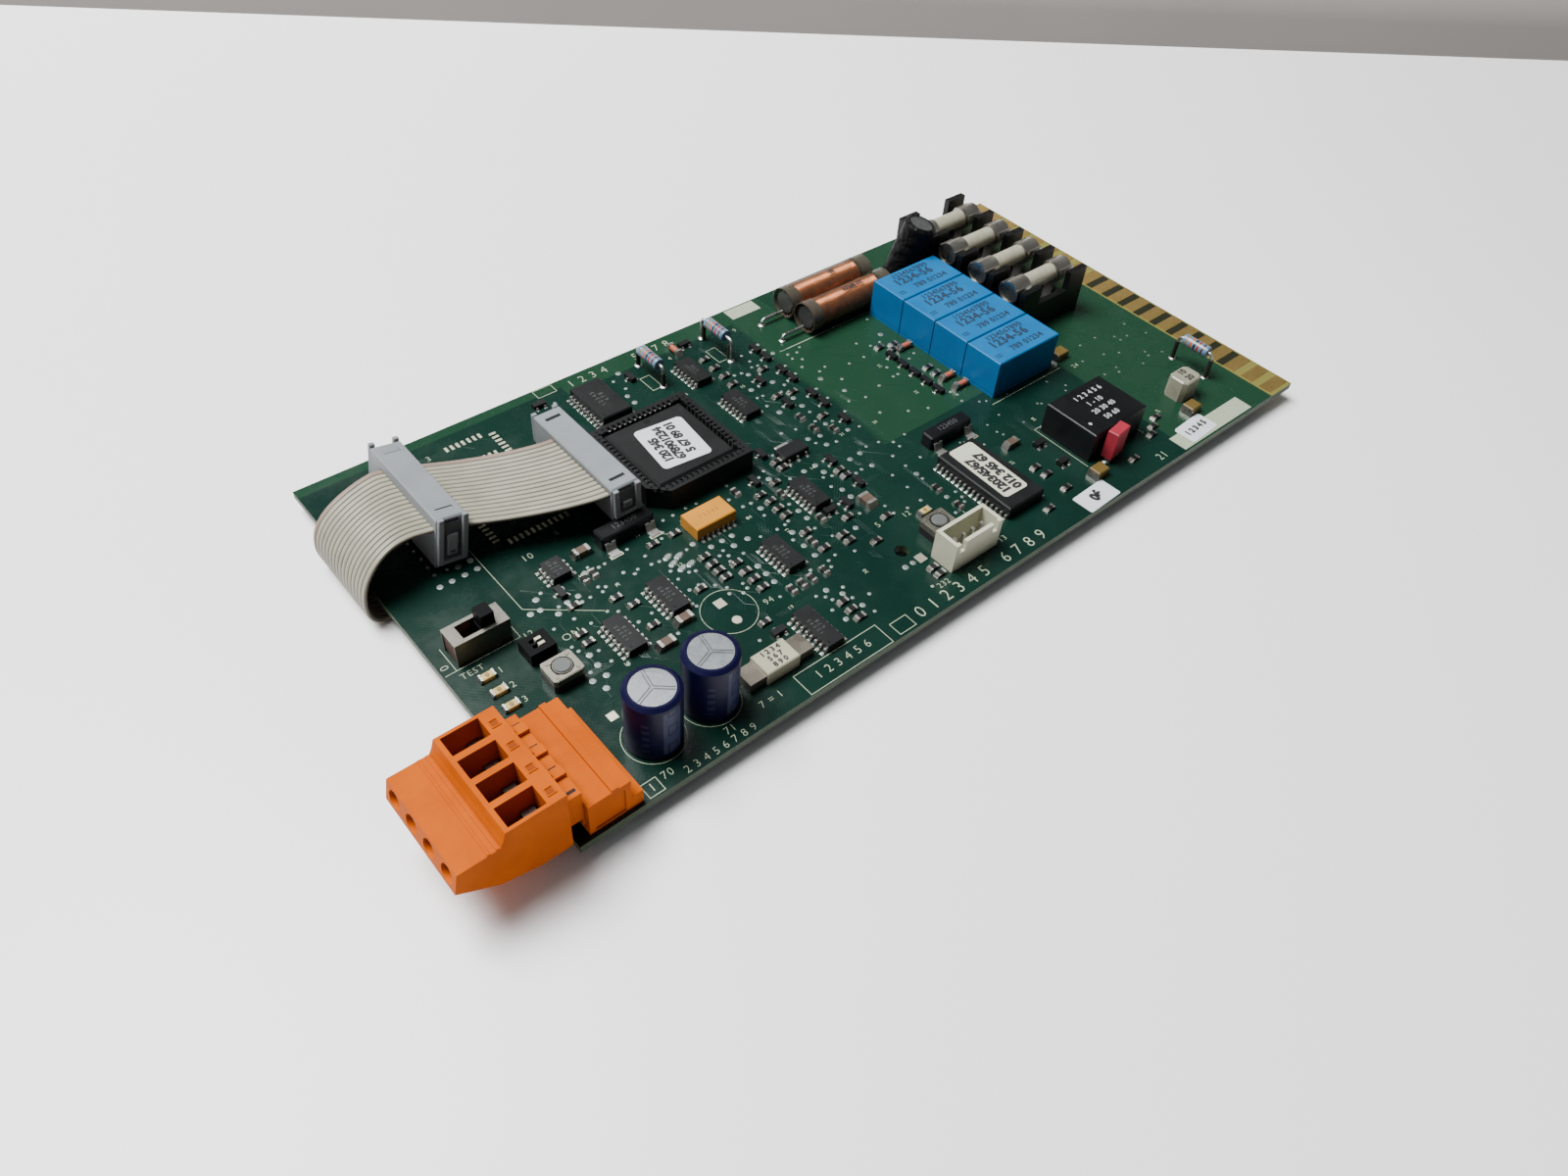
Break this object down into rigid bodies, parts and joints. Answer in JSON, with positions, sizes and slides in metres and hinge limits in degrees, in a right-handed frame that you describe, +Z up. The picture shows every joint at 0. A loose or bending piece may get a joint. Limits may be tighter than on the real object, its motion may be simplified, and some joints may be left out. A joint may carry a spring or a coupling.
{
  "type": "printed circuit board",
  "caption": "Populated control circuit board with relays, fuses in a clip block, a wire plug, a socketed chip, a folded ribbon cable and gold edge contacts.",
  "frame": {"origin": "centre of the overall footprint, at the tips of the soldered leads that the board stands on", "axes": "+X along the board's long edge from the wire plug to the edge contacts, +Y across the board to the fuse side, +Z up from the solder side to the component side"},
  "size_m": [0.2178, 0.1, 0.0215],
  "materials": {
    "solder_mask": "dark green solder mask over glass epoxy, semi gloss",
    "gold": "thin gold plating, smooth",
    "orange_plastic": "moulded nylon, satin",
    "tinned": "tinned metal with bright solder",
    "nickel": "nickel plated, bright",
    "grey_vinyl": "ribbed cable insulation, satin",
    "black_vinyl": "shrunk sleeve, glossy",
    "blue_vinyl": "dark blue shrunk sleeve, glossy",
    "clear_sleeve": "clear shrunk sleeve",
    "grey_plastic": "moulded, satin",
    "black_plastic": "moulded epoxy, fine matt",
    "brown_phenolic": "phenolic, satin",
    "white_plastic": "moulded nylon, satin",
    "cream_moulding": "moulded, satin",
    "can_aluminium": "drawn aluminium with vent scores",
    "tan_moulding": "moulded epoxy, satin",
    "blue_lacquer": "lacquered, banded",
    "blue_plastic": "moulded case, satin",
    "ferrite": "pressed ferrite",
    "copper_wire": "enamelled copper wire",
    "red_moulding": "moulded case, glossy",
    "ceramic": "glazed ceramic",
    "paper": "printed paper label"
  },
  "bodies": {
    "board_assembly": {"axial_resistors": "blue_lacquer", "black_sleeve": "black_vinyl", "blue_sleeves": "blue_vinyl", "board": "solder_mask", "cable_sockets": "grey_plastic", "capacitor_cans": "can_aluminium", "carrier_chip": "black_plastic", "carrier_contacts": "tinned", "carrier_socket": "black_plastic", "ceramic_capacitors": "brown_phenolic", "chip_leads": "tinned", "chip_parts": "black_plastic", "choke_rods": "ferrite", "choke_sleeves": "clear_sleeve", "choke_windings": "copper_wire", "code_switch_body": "black_plastic", "component_leads": "tinned", "crystal_cans": "black_plastic", "crystal_leads": "tinned", "edge_contacts": "gold", "film_capacitor": "red_moulding", "fork_contacts": "gold", "formed_leads": "tinned", "fuse_block": "black_plastic", "fuse_caps": "nickel", "fuse_clips": "tinned", "fuse_tubes": "ceramic", "header_pins": "gold", "indicator_lamps": "cream_moulding", "memory_chip": "black_plastic", "narrow_chips": "black_plastic", "paper_labels": "paper", "pin_header": "black_plastic", "plug_clamps": "tinned", "push_switches": "nickel", "regulator": "black_plastic", "relays": "blue_plastic", "resistor_network": "tan_moulding", "ribbon_cable": "grey_vinyl", "round_resistors": "red_moulding", "slide_switch_base": "brown_phenolic", "slide_switch_can": "nickel", "small_fuse_clips": "tinned", "small_fuse_holder": "cream_moulding", "small_transistors": "black_plastic", "socket_covers": "grey_plastic", "square_choke": "cream_moulding", "tantalum_capacitors": "tan_moulding", "terminal_header": "orange_plastic", "terminal_pins": "tinned", "terminal_plug": "orange_plastic", "transformer": "black_plastic", "white_header": "white_plastic", "white_header_pins": "tinned", "wide_chip": "black_plastic"},
    "slide_actuator_body": {"slide_actuator": "black_plastic"},
    "code_slider_1_body": {"code_slider_1": "white_plastic"},
    "code_slider_2_body": {"code_slider_2": "white_plastic"},
    "wake_button_body": {"wake_button": "grey_plastic"},
    "service_button_body": {"service_button": "grey_plastic"}
  },
  "joints": [
    {"name": "slide_actuator_travel", "type": "slide", "parent": "board_assembly", "child": "slide_actuator_body", "axis": [1, 0, 0], "range_m": [-0.0036, 0]},
    {"name": "code_slider_1_travel", "type": "slide", "parent": "board_assembly", "child": "code_slider_1_body", "axis": [1, 0, 0], "range_m": [-0.001, 0]},
    {"name": "code_slider_2_travel", "type": "slide", "parent": "board_assembly", "child": "code_slider_2_body", "axis": [1, 0, 0], "range_m": [-0.001, 0]},
    {"name": "wake_button_travel", "type": "slide", "parent": "board_assembly", "child": "wake_button_body", "axis": [0, 0, 1], "range_m": [-0.00025, 0], "stiffness_N_per_m": 1500},
    {"name": "service_button_travel", "type": "slide", "parent": "board_assembly", "child": "service_button_body", "axis": [0, 0, 1], "range_m": [-0.00025, 0], "stiffness_N_per_m": 1500}
  ]
}
